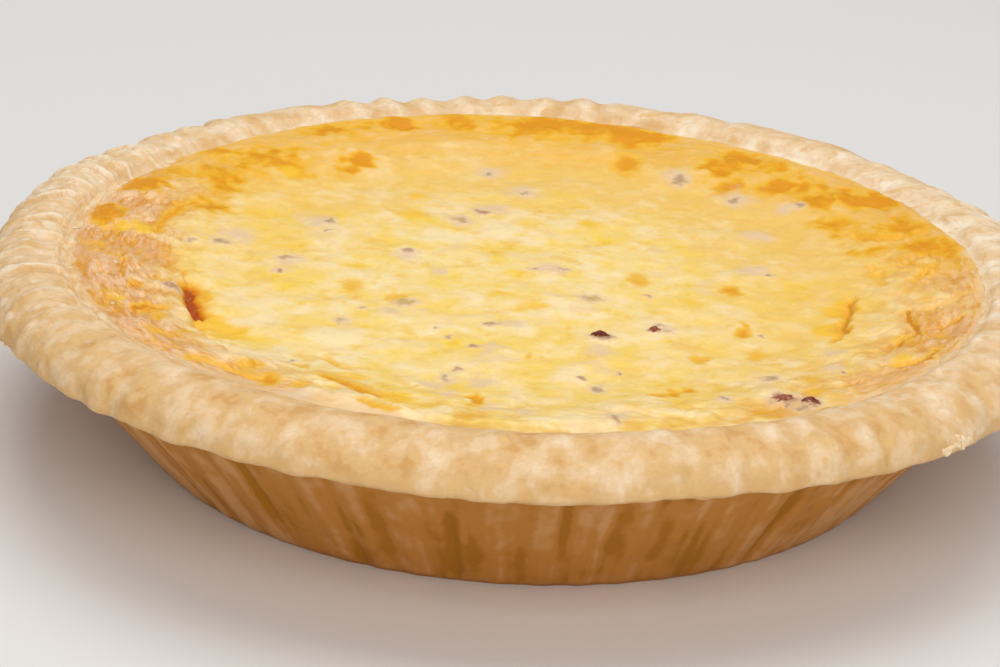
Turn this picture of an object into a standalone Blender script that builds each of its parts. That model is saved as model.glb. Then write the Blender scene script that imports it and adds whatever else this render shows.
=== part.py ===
# Quiche lorraine, whole: a pastry case with a rolled, crimped rim, and a baked egg filling with
# bacon pieces in its top. Metres, +Z up, the middle of the flat foot at the origin.
# The front of the quiche faces -Y. Angles are measured from +X towards +Y.

import math
import random

import bmesh
import bpy
from mathutils import Matrix, Vector, noise

# Driving dimensions of the pastry case
FOOT_RADIUS = 0.0846
FOOT_ROUNDING = 0.0016
WALL_TOP_RADIUS = 0.1112
WALL_TOP_HEIGHT = 0.0328
LIP_RADIUS = 0.1203
LIP_HEIGHT = 0.0352
CREST_RADIUS = 0.1087
CREST_HEIGHT = 0.0434
PASTRY_THICKNESS = 0.0045

# Driving dimensions of the filling
FILLING_RADIUS = 0.1015
FILLING_EDGE_HEIGHT = 0.0409
PLATEAU_RADIUS = 0.0690
PLATEAU_HEIGHT = 0.0366
FITTING_GAP = 0.0004
SEAT_RADIUS = 0.0965
SEAT_HEIGHT = 0.0235
FLOOR_RADIUS = 0.0815

# How finely the turned shapes are divided
FILLING_RINGS = 22
FILLING_STEPS = 6 * FILLING_RINGS
CASE_STEPS = 2 * FILLING_STEPS

# Unevenness of the rim: crimps, a slow wander, the brim that follows the filling's wandering line,
# and a lump of crumbs at the right of the front
CRIMP_COUNT = 62
CRIMP_DEPTH = 0.0016
RIM_WANDER = 0.0009
BRIM_WIDTH = 0.006
CRUMB_ANGLE = math.radians(-46)
CRUMB_HALF_WIDTH = math.radians(2.6)
CRUMB_REACH = 0.0019

# Pleats of the wall and the sharper creases between them, in degrees
PLEAT_COUNT = 66
PLEAT_DEPTH = 0.0004
CREASE_DEPTH = 0.0013
CREASE_HALF_WIDTH = math.radians(1.1)
FRONT_CREASES = (-136, -121, -110, -97, -84, -70, -55, -46)
CREASE_SPACING = 13

# Cracks in the filling: the way each one runs, its depth and its half width, in millimetres
CRACKS = (
    (((-78, -8), (-76, -19), (-75, -23), (-71, -31), (-70, -36), (-67, -41), (-61, -50)), 1.9, 2.4),
    (((-82, 21), (-82, 16), (-83, 4)), 1.1, 2.3),
    (((-74, 32), (-73, 22)), 1.2, 2.3),
    (((73, -12), (71, -16), (70, -22), (69, -30), (67, -33)), 1.5, 2.3),
    (((84, -22), (84, -30), (83, -36), (80, -40)), 1.3, 2.2),
    (((86, -47), (84, -53), (80, -57), (77, -54)), 1.1, 2.2),
    (((78, 28), (82, 24)), 1.1, 2.3),
    (((-66, -75), (-55, -80), (-49, -82)), 1.0, 2.2),
    (((-39, -62), (-36, -71), (-32, -80), (-24, -81)), 1.1, 2.2),
)

# Blisters that sank in the oven: place, radius and depth, in millimetres
BLISTERS = (
    ((-72, -32), 3.4, 2.2),
    ((-78, -47), 3.8, 1.4),
    ((-64, -45), 5.0, 1.2),
    ((46, -8), 3.2, 0.8),
    ((31, -67), 4.2, 0.9),
    ((-10, -78), 3.4, 1.0),
    ((63, -75), 4.2, 0.8),
    ((24, 76), 4.6, 1.0),
)

# The largest bacon pieces: place and length in millimetres, turn in degrees
LARGE_BACON = (
    ((-76.2, -23.5), 6.4, 115),
    ((53.6, -76.6), 5.8, 10),
    ((59.4, -78.2), 4.8, -20),
    ((17.0, -37.5), 4.6, 20),
    ((28.3, -33.0), 3.6, 70),
    ((50.9, -62.3), 3.8, 60),
    ((14.6, -16.2), 4.2, 70),
    ((16.6, -68.4), 4.2, 75),
    ((-15.0, -66.0), 4.0, 80),
    ((-15.0, -43.2), 3.4, 30),
    ((-8.5, -48.2), 3.8, 0),
    ((-34.6, -28.6), 3.4, 0),
    ((-25.0, -24.4), 4.2, 60),
    ((-10.8, 37.6), 4.8, 10),
    ((-16.0, 31.0), 4.2, 45),
    ((36.9, 65.2), 5.4, 85),
    ((49.9, 54.7), 4.6, 20),
    ((-46.4, 25.8), 4.4, 10),
    ((-69.2, 6.6), 4.6, 10),
    ((-1.5, 54.0), 4.6, 0),
)
SMALL_BACON_COUNT = 20
SMALL_BACON_LENGTH = (3.2, 4.4)
BACON_SPACING = 0.011

MM = 0.001
FULL_TURN = 2 * math.pi


def clear_scene():
    for thing in list(bpy.data.objects):
        bpy.data.objects.remove(thing)


def make_material(name, colour, roughness):
    material = bpy.data.materials.new(name)
    material.use_nodes = True
    shader = material.node_tree.nodes["Principled BSDF"]
    shader.inputs["Base Color"].default_value = (*colour, 1)
    shader.inputs["Roughness"].default_value = roughness
    shader.inputs["Metallic"].default_value = 0
    return material


def smooth_step(value):
    value = min(1.0, max(0.0, value))
    return value * value * (3 - 2 * value)


def around(angle, scale, seed):
    # Noise that closes on itself round the pie, from about -1 to 1
    return 1.6 * noise.noise(Vector((math.cos(angle) * scale, math.sin(angle) * scale, seed)))


def angle_between(first, second):
    return (first - second + math.pi) % FULL_TURN - math.pi


def edge_wander(angle):
    # How far the line where filling meets pastry strays, outwards and up
    return 0.0011 * around(angle, 1.1, 5.0), 0.0006 * around(angle, 1.3, 9.0)


def crease_angles():
    # The front's own creases, then others spaced unevenly round the back
    draw = random.Random(11)
    degrees = list(FRONT_CREASES)
    last_gap = 360 + FRONT_CREASES[0] - CREASE_SPACING / 2
    nominal = FRONT_CREASES[-1] + CREASE_SPACING
    while nominal < last_gap:
        degrees.append(nominal + draw.uniform(-3, 3))
        nominal += CREASE_SPACING
    return [math.radians(degree) for degree in degrees]


def wall_relief(angle, height, creases):
    # Shallow pleats with sharper creases between them, which lean a little this way and that
    lean = 0.03 * around(angle, 4.0, 2.0) * height / WALL_TOP_HEIGHT
    pleat = math.sin(PLEAT_COUNT * (angle + lean) + 1.5 * around(angle, 3.0, 7.0))
    relief = PLEAT_DEPTH * pleat * (0.6 + 0.5 * around(angle, 5.0, 1.0))
    for number, place in enumerate(creases):
        away = angle_between(angle + lean, place) / CREASE_HALF_WIDTH
        strength = 0.65 + 0.35 * math.sin(2.3 * number)
        relief -= CREASE_DEPTH * strength * math.exp(-away * away)
    return relief


def crimp(angle):
    # Near 1 on the bumps of the crimped rim, near 0 between them, and fainter here and there
    phase = CRIMP_COUNT * angle + 3.0 * around(angle, 3.2, 3.0)
    strength = min(1.0, max(0.15, 0.65 + 0.8 * around(angle, 4.4, 8.0)))
    return 0.5 + 0.5 * strength * math.cos(phase)


def crumbs(angle):
    away = angle_between(angle, CRUMB_ANGLE) / CRUMB_HALF_WIDTH
    return CRUMB_REACH * math.exp(-(away**4)) * (0.7 + 0.3 * math.cos(angle * 150))


def outer_profile():
    # Radius and height from the foot up the wall, round the lip and over the crest to the filling
    foot = FOOT_RADIUS + FOOT_ROUNDING
    points = [(FOOT_RADIUS, 0.0)]
    for share in (0.0, 1 / 3, 2 / 3, 1.0):
        radius = foot + (WALL_TOP_RADIUS - foot) * share
        points.append((radius, FOOT_ROUNDING + (WALL_TOP_HEIGHT - FOOT_ROUNDING) * share))
    points.append((WALL_TOP_RADIUS + 0.0020, WALL_TOP_HEIGHT + 0.0008))
    points.append((LIP_RADIUS - 0.0014, LIP_HEIGHT - 0.0016))
    for degree in (0, 24, 46, 68, 90):
        turn = math.radians(degree)
        radius = CREST_RADIUS + (LIP_RADIUS - CREST_RADIUS) * math.cos(turn)
        points.append((radius, LIP_HEIGHT + (CREST_HEIGHT - LIP_HEIGHT) * math.sin(turn)))
    points.append((CREST_RADIUS - 0.0040, CREST_HEIGHT - 0.0007))
    points.append((FILLING_RADIUS + FITTING_GAP, FILLING_EDGE_HEIGHT + 0.0001))
    return points


def seat_profile():
    # The inside of the case, which holds the filling: from just under its edge down to the floor
    return [
        (FILLING_RADIUS + FITTING_GAP, FILLING_EDGE_HEIGHT - PASTRY_THICKNESS),
        (SEAT_RADIUS, SEAT_HEIGHT),
        (FLOOR_RADIUS, PASTRY_THICKNESS),
    ]


def spin_profile(shape, points, steps):
    verts = [shape.verts.new((radius, 0, height)) for radius, height in points]
    edges = [shape.edges.new(pair) for pair in zip(verts, verts[1:])]
    bmesh.ops.spin(
        shape,
        geom=verts + edges,
        cent=(0, 0, 0),
        axis=(0, 0, 1),
        angle=FULL_TURN,
        steps=steps,
        use_merge=True,
    )
    bmesh.ops.remove_doubles(shape, verts=shape.verts, dist=1e-6)


def open_loop(shape, radius, height):
    # The edges with one face or none that lie on this circle
    found = []
    for edge in shape.edges:
        on_circle = all(
            abs(v.co.xy.length - radius) < 1e-5 and abs(v.co.z - height) < 1e-5
            for v in edge.verts
        )
        if on_circle and len(edge.link_faces) < 2:
            found.append(edge)
    return found


def case_vertex_moved(point, creases):
    # Where a point of the turned case goes: crimps on the rim, pleats on the wall, a wandering edge
    radius, height = point.xy.length, point.z
    angle = math.atan2(point.y, point.x)
    wander_out, wander_up = edge_wander(angle)
    wall_radius = FOOT_RADIUS + (WALL_TOP_RADIUS - FOOT_RADIUS) * height / WALL_TOP_HEIGHT
    if height <= WALL_TOP_HEIGHT + 1e-5 and radius > wall_radius - 0.001:
        fade = 1 - 0.6 * smooth_step(5 * height / WALL_TOP_HEIGHT - 4)
        foot = 0.45 if height < 1e-6 else 1.0
        radius += wall_relief(angle, height, creases) * fade * foot
    elif radius > FILLING_RADIUS + 2 * FITTING_GAP:
        inner = 1 - smooth_step((radius - FILLING_RADIUS) / BRIM_WIDTH)
        outward = smooth_step((radius - CREST_RADIUS) / (LIP_RADIUS - CREST_RADIUS) + 0.25)
        upper = smooth_step((height - LIP_HEIGHT) / (CREST_HEIGHT - LIP_HEIGHT))
        bump = CRIMP_DEPTH * (crimp(angle) - 0.5)
        radius += outward * (bump + RIM_WANDER * around(angle, 1.4, 4.0) + crumbs(angle))
        radius += inner * wander_out
        height += (1 - inner) * (RIM_WANDER * around(angle, 2.0, 6.0) + 0.6 * upper * bump)
        height += inner * wander_up
    elif height > FILLING_EDGE_HEIGHT - BRIM_WIDTH:
        radius += wander_out
        height += wander_up
    return Vector((radius * math.cos(angle), radius * math.sin(angle), height))


def finish_object(name, shape, material):
    bmesh.ops.triangulate(shape, faces=shape.faces)
    bmesh.ops.recalc_face_normals(shape, faces=shape.faces)
    mesh = bpy.data.meshes.new(name)
    shape.to_mesh(mesh)
    shape.free()
    mesh.shade_smooth()
    mesh.set_sharp_from_angle(angle=math.radians(50))
    thing = bpy.data.objects.new(name, mesh)
    bpy.context.scene.collection.objects.link(thing)
    thing.data.materials.append(material)
    return thing


def make_case(material):
    shape = bmesh.new()
    outside, seat = outer_profile(), seat_profile()
    spin_profile(shape, outside, CASE_STEPS)
    spin_profile(shape, seat, FILLING_STEPS)
    brim = open_loop(shape, *outside[-1]) + open_loop(shape, *seat[0])
    bmesh.ops.bridge_loops(shape, edges=brim)
    for radius, height in (outside[0], seat[-1]):
        bmesh.ops.contextual_create(shape, geom=open_loop(shape, radius, height))
    creases = crease_angles()
    for vert in shape.verts:
        vert.co = case_vertex_moved(vert.co, creases)
    return finish_object("crust", shape, material)


def distance_to_way(x, y, way):
    nearest = 1.0
    for start, end in zip(way, way[1:]):
        ax, ay = start[0] * MM, start[1] * MM
        dx, dy = end[0] * MM - ax, end[1] * MM - ay
        share = ((x - ax) * dx + (y - ay) * dy) / (dx * dx + dy * dy)
        share = min(1.0, max(0.0, share))
        nearest = min(nearest, math.hypot(x - ax - share * dx, y - ay - share * dy))
    return nearest


def filling_height(x, y):
    # The flat middle, the puffed margin that rises to the pastry, and the relief on both
    radius, angle = math.hypot(x, y), math.atan2(y, x)
    foot = PLATEAU_RADIUS + 0.0035 * around(angle, 1.7, 12.0)
    share = (radius - foot) / (FILLING_RADIUS - foot)
    rise = smooth_step((share + 0.12) / 1.12) ** 0.8
    inside = 1 - smooth_step((radius - FILLING_RADIUS + 0.006) / 0.0055)
    height = PLATEAU_HEIGHT + (FILLING_EDGE_HEIGHT - PLATEAU_HEIGHT) * rise
    height += (1 - inside) * edge_wander(angle)[1]
    relief = 0.0006 * noise.noise(Vector((x / 0.013, y / 0.013, 3.0)))
    relief += 0.0004 * noise.noise(Vector((x / 0.006, y / 0.006, 8.0)))
    pillows = 0.0013 * noise.noise(Vector((x / 0.016, y / 0.016, 21.0)))
    height += inside * (relief + rise * pillows)
    for way, depth, half_width in CRACKS:
        away = distance_to_way(x, y, way) / (half_width * MM)
        height -= inside * depth * MM * (math.exp(-away * away) - 0.25 * math.exp(-((away - 2) ** 2)))
    for (bx, by), size, depth in BLISTERS:
        away = math.hypot(x - bx * MM, y - by * MM) / (size * MM)
        height -= inside * depth * MM * math.exp(-(away**3))
    return height


def hexagon_to_disc(point):
    # A point of a unit hexagon with a corner on +Y goes to the same ring of a disc
    angle = math.atan2(point.y, point.x)
    sector = math.radians(60)
    middle = (math.floor((angle - math.radians(30)) / sector) + 0.5) * sector + math.radians(30)
    apart = angle_between(angle, middle)
    ring = point.xy.length * math.cos(apart) / math.cos(sector / 2)
    turn = middle + math.tan(apart) / math.tan(sector / 2) * sector / 2
    return ring, turn


def make_filling_top(shape):
    # A hexagon of six triangles, divided into even smaller ones and drawn out to a round disc
    bmesh.ops.create_circle(shape, cap_ends=True, cap_tris=True, segments=6, radius=1)
    bmesh.ops.subdivide_edges(
        shape, edges=shape.edges[:], cuts=FILLING_RINGS - 1, use_grid_fill=True
    )
    for vert in shape.verts:
        ring, turn = hexagon_to_disc(vert.co)
        radius = ring * FILLING_RADIUS
        x, y = radius * math.cos(turn), radius * math.sin(turn)
        height = filling_height(x, y)
        radius += edge_wander(turn)[0] * smooth_step((radius - FILLING_RADIUS + 0.012) / 0.012)
        vert.co = (radius * math.cos(turn), radius * math.sin(turn), height)


def make_filling_side(shape):
    # The filling's hidden side follows the case's seat, one gap inside it, down to its floor
    rim = [edge for edge in shape.edges if edge.is_boundary]
    for radius, height in seat_profile():
        made = bmesh.ops.extrude_edge_only(shape, edges=rim)["geom"]
        rim = [item for item in made if isinstance(item, bmesh.types.BMEdge)]
        for vert in (item for item in made if isinstance(item, bmesh.types.BMVert)):
            angle = math.atan2(vert.co.y, vert.co.x)
            near_edge = height > FILLING_EDGE_HEIGHT - BRIM_WIDTH
            out, up = edge_wander(angle) if near_edge else (0, 0)
            lift = FITTING_GAP if height <= PASTRY_THICKNESS else 0
            reach = radius - FITTING_GAP + out
            vert.co = (reach * math.cos(angle), reach * math.sin(angle), height + lift + up)
    bmesh.ops.contextual_create(shape, geom=rim)


def bacon_places():
    # The largest pieces, then smaller ones scattered clear of them
    draw = random.Random(5)
    places = [(Vector((x, y)) * MM, length * MM, turn) for (x, y), length, turn in LARGE_BACON]
    wanted = len(places) + SMALL_BACON_COUNT
    while len(places) < wanted:
        radius = 0.086 * math.sqrt(draw.random())
        angle = draw.uniform(0, FULL_TURN)
        spot = Vector((radius * math.cos(angle), radius * math.sin(angle)))
        length = draw.uniform(*SMALL_BACON_LENGTH) * MM
        turn = draw.uniform(0, 180)
        if all((spot - other).length > BACON_SPACING for other, _, _ in places):
            places.append((spot, length, turn))
    return places


def make_bacon_piece(number, spot, length, turn):
    # A flattened, uneven lump, half sunk in the filling
    draw = random.Random(100 + number)
    shape = bmesh.new()
    bmesh.ops.create_icosphere(shape, subdivisions=1, radius=1)
    for vert in shape.verts:
        vert.co *= draw.uniform(0.85, 1.15)
    size = Matrix.Diagonal((length / 2, length * draw.uniform(0.26, 0.36), length * 0.2, 1))
    place = Matrix.Translation((*spot, filling_height(*spot) + length * 0.04))
    tilt = Matrix.Rotation(math.radians(draw.uniform(-12, 12)), 4, "X")
    shape.transform(place @ Matrix.Rotation(math.radians(turn), 4, "Z") @ tilt @ size)
    mesh = bpy.data.meshes.new(f"bacon_{number}")
    shape.to_mesh(mesh)
    shape.free()
    return bpy.data.objects.new(f"bacon_{number}", mesh)


def fuse_bacon(filling):
    # One union joins every piece to the filling, and the loose pieces are then removed
    pieces = bpy.data.collections.new("bacon")
    bpy.context.scene.collection.children.link(pieces)
    for number, (spot, length, turn) in enumerate(bacon_places()):
        pieces.objects.link(make_bacon_piece(number, spot, length, turn))
    union = filling.modifiers.new("bacon", "BOOLEAN")
    union.operation = "UNION"
    union.operand_type = "COLLECTION"
    union.collection = pieces
    union.solver = "EXACT"
    bpy.context.view_layer.update()
    fused = filling.evaluated_get(bpy.context.evaluated_depsgraph_get())
    mesh = bpy.data.meshes.new_from_object(fused)
    filling.modifiers.clear()
    filling.data = mesh
    mesh.name = filling.name
    for piece in list(pieces.objects):
        bpy.data.objects.remove(piece)
    bpy.data.collections.remove(pieces)


def make_filling(material):
    shape = bmesh.new()
    make_filling_top(shape)
    make_filling_side(shape)
    filling = finish_object("filling", shape, material)
    fuse_bacon(filling)
    return filling


def main():
    clear_scene()
    make_case(make_material("pastry", (0.71, 0.45, 0.20), 0.62))
    make_filling(make_material("custard", (0.84, 0.55, 0.15), 0.45))


main()
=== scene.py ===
import math
import random

import bmesh
import bpy
import numpy as np
from mathutils import Euler, Matrix, Vector, noise
from mathutils.bvhtree import BVHTree


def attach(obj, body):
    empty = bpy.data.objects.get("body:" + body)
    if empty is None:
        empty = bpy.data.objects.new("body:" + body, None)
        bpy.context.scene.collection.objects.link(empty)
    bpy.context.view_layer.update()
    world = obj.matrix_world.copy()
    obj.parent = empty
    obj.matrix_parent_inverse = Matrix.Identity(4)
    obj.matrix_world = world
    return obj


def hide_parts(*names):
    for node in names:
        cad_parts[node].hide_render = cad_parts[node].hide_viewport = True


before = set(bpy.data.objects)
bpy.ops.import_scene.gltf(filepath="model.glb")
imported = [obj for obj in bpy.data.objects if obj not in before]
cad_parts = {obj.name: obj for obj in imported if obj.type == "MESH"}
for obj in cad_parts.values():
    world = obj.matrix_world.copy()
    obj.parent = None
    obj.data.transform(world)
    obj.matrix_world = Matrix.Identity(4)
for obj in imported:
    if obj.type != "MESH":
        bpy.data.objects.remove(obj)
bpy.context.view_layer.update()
mm = 0.001
fullTurn = 2 * math.pi
drawnRadius = 0.095  # where a pattern drawn out round the pie has its true length
print("frame loaded:", sorted(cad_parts))


# shader maths

class Wire:  # a socket that Python's own operators work on
    def __init__(self, tree, socket=None):
        self.tree = tree
        self.socket = socket

    def node(self, kind, settings=None, inputs=None, output=0):
        made = self.tree.nodes.new(kind)
        for name, value in (settings or {}).items():
            setattr(made, name, value)
        for name, value in (inputs or {}).items():
            if isinstance(value, Wire):
                self.tree.links.new(value.socket, made.inputs[name])
            else:
                made.inputs[name].default_value = value
        return Wire(self.tree, made.outputs[output])

    def math(self, operation, first, second):
        return self.node("ShaderNodeMath", {"operation": operation}, {0: first, 1: second})

    def __add__(self, other):
        return self.math("ADD", self, other)

    def __radd__(self, other):
        return self.math("ADD", other, self)

    def __sub__(self, other):
        return self.math("SUBTRACT", self, other)

    def __rsub__(self, other):
        return self.math("SUBTRACT", other, self)

    def __mul__(self, other):
        return self.math("MULTIPLY", self, other)

    def __rmul__(self, other):
        return self.math("MULTIPLY", other, self)

    def __abs__(self):
        return self.math("ABSOLUTE", self, 0.0)

    def vector(self, operation, inputs, output=0):
        return self.node("ShaderNodeVectorMath", {"operation": operation}, inputs, output)

    def towards(self, direction):  # how far this place lies that way, in metres
        return self.vector("DOT_PRODUCT", {0: self, 1: direction}, "Value")

    def band(self, low, high):  # 0 below low, 1 above high, smooth between
        ends = {"Value": self, "From Min": low, "From Max": high}
        return self.node("ShaderNodeMapRange", {"interpolation_type": "SMOOTHSTEP"}, ends)

    def mix(self, first, second):  # first where this is 0, second where it is 1
        colours = [c if isinstance(c, Wire) else (*c, 1) for c in (first, second)]
        inputs = {0: self, 6: colours[0], 7: colours[1]}
        return self.node("ShaderNodeMix", {"data_type": "RGBA"}, inputs, 2)

    def ramp(self, colour, steps):  # through colours, each change over its own range
        for low, high, following in steps:
            colour = self.band(low, high).mix(colour, following)
        return colour

    def noise(self, size, detail=3, roughness=0.5, output=0):  # patches of that size
        inputs = {"Vector": self, "Scale": 1 / size, "Detail": detail, "Roughness": roughness}
        return self.node("ShaderNodeTexNoise", {}, inputs, output)

    def shifted(self, size, amount):  # places pushed about, so that patterns bend
        push = self.noise(size, 2, 0.5, "Color")
        return self.vector("MULTIPLY_ADD", {0: push, 1: (amount,) * 3, 2: self})

    def ringed(self, along, across, depth=None):  # places drawn out along the brim, for streaks
        flat = self.vector("MULTIPLY", {0: self, 1: (1, 1, 0)})
        depth = depth or self.vector("LENGTH", {0: flat}, "Value")
        lift = self.node("ShaderNodeCombineXYZ", {}, {"Z": depth * (1 / across)})
        turn = self.vector("NORMALIZE", {0: flat})
        return self.vector("MULTIPLY_ADD", {0: turn, 1: (drawnRadius / along,) * 3, 2: lift})

    def painted(self, name):  # a value kept on the mesh
        return self.node("ShaderNodeAttribute", {"attribute_name": name}, output="Fac")

    def bump(self, height, strength):
        inputs = {"Height": height, "Strength": strength, "Distance": mm}
        return self.node("ShaderNodeBump", {}, inputs)


def startMaterial(name, uniform):
    material = bpy.data.materials.new(name)
    material.use_nodes = True
    shader = material.node_tree.nodes["Principled BSDF"]
    for socketName, value in uniform.items():
        shader.inputs[socketName].default_value = value
    place = Wire(material.node_tree).node("ShaderNodeTexCoord", output="Object")
    return material, shader, place


def feed(shader, sockets):
    for name, wire in sockets.items():
        wire.tree.links.new(wire.socket, shader.inputs[name])


def coated(colour, look, coats):  # colours laid one over another, each where its mask is 1
    for name, mask in coats:
        colour = mask.mix(colour, look[name])
    return colour


# helpers for shapes

def smoothStep(value):
    value = min(1.0, max(0.0, value))
    return value * value * (3 - 2 * value)


def smoothSteps(values):  # the same for an array
    values = np.clip(values, 0, 1)
    return values * values * (3 - 2 * values)


def hump(away, power=2):  # 1 in the middle, falling smoothly to 0
    return math.exp(-(abs(away) ** power))


def humps(away, power=2):  # the same for an array
    return np.exp(-(away**power))


def bumps(x, y, z):  # smooth noise from about -1 to 1
    return 1.6 * noise.noise(Vector((x, y, z)))


def ripple(point, size, seed):  # bumps of that size
    return bumps(point.x / size, point.y / size, point.z / size + seed)


def around(angle, scale, seed):  # bumps that close on themselves round the pie
    return bumps(math.cos(angle) * scale, math.sin(angle) * scale, seed)


def polar(radius, angle, height=0.0):
    return Vector((radius * math.cos(angle), radius * math.sin(angle), height))


def bearing(point):
    return math.atan2(point.y, point.x)


def angleBetween(first, second):
    return (first - second + math.pi) % fullTurn - math.pi


def smoothPath(points, spacing):  # a rounded line through the points, in even steps
    knots = [Vector(p) for p in points]
    knots = [2 * knots[0] - knots[1], *knots, 2 * knots[-1] - knots[-2]]
    path = [knots[1]]
    for a, b, c, d in zip(knots, knots[1:], knots[2:], knots[3:]):
        steps = max(1, round((c - b).length / spacing))
        for step in range(1, steps + 1):
            t = step / steps
            curve = (2 * b + (c - a) * t + (2 * a - 5 * b + 4 * c - d) * t**2)
            path.append(0.5 * (curve + (3 * b - 3 * c + d - a) * t**3))
    return [tuple(p) for p in path]


def turnOutwards(shape):
    bmesh.ops.recalc_face_normals(shape, faces=shape.faces)
    if shape.calc_volume(signed=True) < 0:
        bmesh.ops.reverse_faces(shape, faces=shape.faces)


def meshFrom(name, shape):
    mesh = bpy.data.meshes.new(name)
    shape.to_mesh(mesh)
    shape.free()
    return mesh


def addObject(name, data):
    made = bpy.data.objects.new(name, data)
    bpy.context.scene.collection.objects.link(made)
    return made


def finishPiece(name, shape, material, painted=None):
    mesh = meshFrom(name, shape)
    mesh.shade_smooth()
    for label, values in (painted or {}).items():
        layer = mesh.attributes.new(label, "FLOAT", "POINT")
        layer.data.foreach_set("value", np.asarray(values, dtype=np.float32))
    piece = addObject(name, mesh)
    mesh.materials.append(material)
    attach(piece, "root")
    print(name, len(mesh.polygons), "faces")
    return piece


# where custard meets pastry, shared by both

brim = {
    "radius": 0.1015,
    "height": 0.0409,
    "wanderOut": 0.0011,
    "wanderUp": 0.0006,
    "width": 0.006,
    "overlap": 0.0006,  # the custard's edge reaches this far into the pastry
}


def brimWander(angle):
    out = brim["wanderOut"] * around(angle, 1.1, 5.0)
    return out, brim["wanderUp"] * around(angle, 1.3, 9.0)


# crust

crust = {
    "steps": 1200,
    "wallSpacing": 0.0018,
    "rimSpacing": 0.00065,
    "footRadius": 0.0846,
    "footRounding": 0.0016,
    "wallTop": (0.1112, 0.0328),
    "lip": (0.1203, 0.0352),
    "crest": (0.1087, 0.0434),
    "seat": ((0.0965, 0.0235), (0.0815, 0.0045)),
    "thickness": 0.0045,
    # angle in degrees, height and size in mm: browner patches of the wall
    "stains": (
        (-108, 13, 7), (-120, 12, 5), (-96, 9, 5), (-77, 15, 4), (-70, 17, 3), (-67, 6, 3.5),
        (-135, 16, 4), (-50, 14, 4), (-30, 12, 6), (10, 15, 8), (60, 10, 7), (130, 14, 8),
        (190, 12, 6),
    ),
    "stainRadius": 96,  # mm, of the wall where the stains lie
    "streakRadius": 0.112,
    "crimps": 62,
    "crimpDepth": 0.0016,
    "plainAngle": 0.8,  # where the rim has fainter crimps
    "plainSpread": 0.5,
    "rimWander": 0.0009,
    "pleats": 66,
    "pleatDepth": 0.0004,
    "creases": (-136, -121, -110, -97, -84, -70, -55, -46),
    "creaseDepth": 0.0013,
    "creaseWidth": math.radians(0.75),
    "creaseSpacing": 13,
    "creaseScatter": 3,
    "lean": 0.085,  # how far the wall's ridges lean over at the right
    "leanWander": 0.006,
    "scaleDepth": 1.25,  # mm
    "scaleAngle": math.radians(174),  # where the rim is most flaky
    "scaleSpread": math.radians(34),
    # the thin edge that lies over the custard: share of its reach, and height in mm
    "skin": ((0.0, 0.20), (0.55, 0.10), (1.0, -0.03), (1.0, -0.55)),
}


def creaseAngles():
    draw = random.Random(11)
    degrees = list(crust["creases"])
    nominal = degrees[-1] + crust["creaseSpacing"]
    while nominal < 360 + degrees[0] - crust["creaseSpacing"] / 2:
        degrees.append(nominal + draw.uniform(-crust["creaseScatter"], crust["creaseScatter"]))
        nominal += crust["creaseSpacing"]
    return [math.radians(degree) for degree in degrees]


def wallLean(angle, height):  # how far the wall's ridges lean over at that height
    lean = crust["lean"] * smoothStep(math.cos(angle) + 0.1)
    lean += crust["leanWander"] * around(angle, 4.0, 2.0)
    return lean * height / crust["wallTop"][1]


def wallRelief(angle, height, creases):
    lean = wallLean(angle, height)
    pleat = math.sin(crust["pleats"] * (angle + lean) + 1.5 * around(angle, 3.0, 7.0))
    relief = crust["pleatDepth"] * pleat * (0.6 + 0.5 * around(angle, 5.0, 1.0))
    for number, place in enumerate(creases):
        away = angleBetween(angle + lean, place) / crust["creaseWidth"]
        if abs(away) < 4:
            strength = 0.65 + 0.35 * math.sin(2.3 * number)
            strength *= smoothStep(0.75 + 0.8 * math.sin(4.1 * number + 150 * height))
            relief -= crust["creaseDepth"] * strength * hump(away)
    return relief


def stainAt(angle, height):  # 1 in the middle of a browner patch of the wall
    strongest = 0.0
    for degrees, middle, size in crust["stains"]:
        along = angleBetween(angle, math.radians(degrees)) * crust["stainRadius"] / size
        up = (height / mm - middle) / (1.4 * size)
        strongest = max(strongest, math.exp(-(along**2) - up**2))
    return strongest


def crimpTurns(angle):  # grows by one from each bump of the rim to the next
    return (crust["crimps"] * angle + 3.0 * around(angle, 3.2, 3.0)) / fullTurn


def flaky(angle):  # near 1 where the rim lies in scales
    return hump(angleBetween(angle, crust["scaleAngle"]) / crust["scaleSpread"], 4)


def crimp(angle):  # near 1 on the rim's bumps, near 0 between them, fainter here and there
    strength = min(1.0, max(0.15, 0.65 + 0.8 * around(angle, 4.4, 8.0)))
    strength *= 0.4 + 0.6 * smoothStep(0.75 + 0.9 * math.sin(angle))  # flatter at the front
    strength *= 1 - 0.6 * flaky(angle)
    strength *= 1 - 0.6 * hump(angleBetween(angle, crust["plainAngle"]) / crust["plainSpread"])
    return 0.5 + 0.5 * strength * math.cos(fullTurn * crimpTurns(angle))


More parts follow.
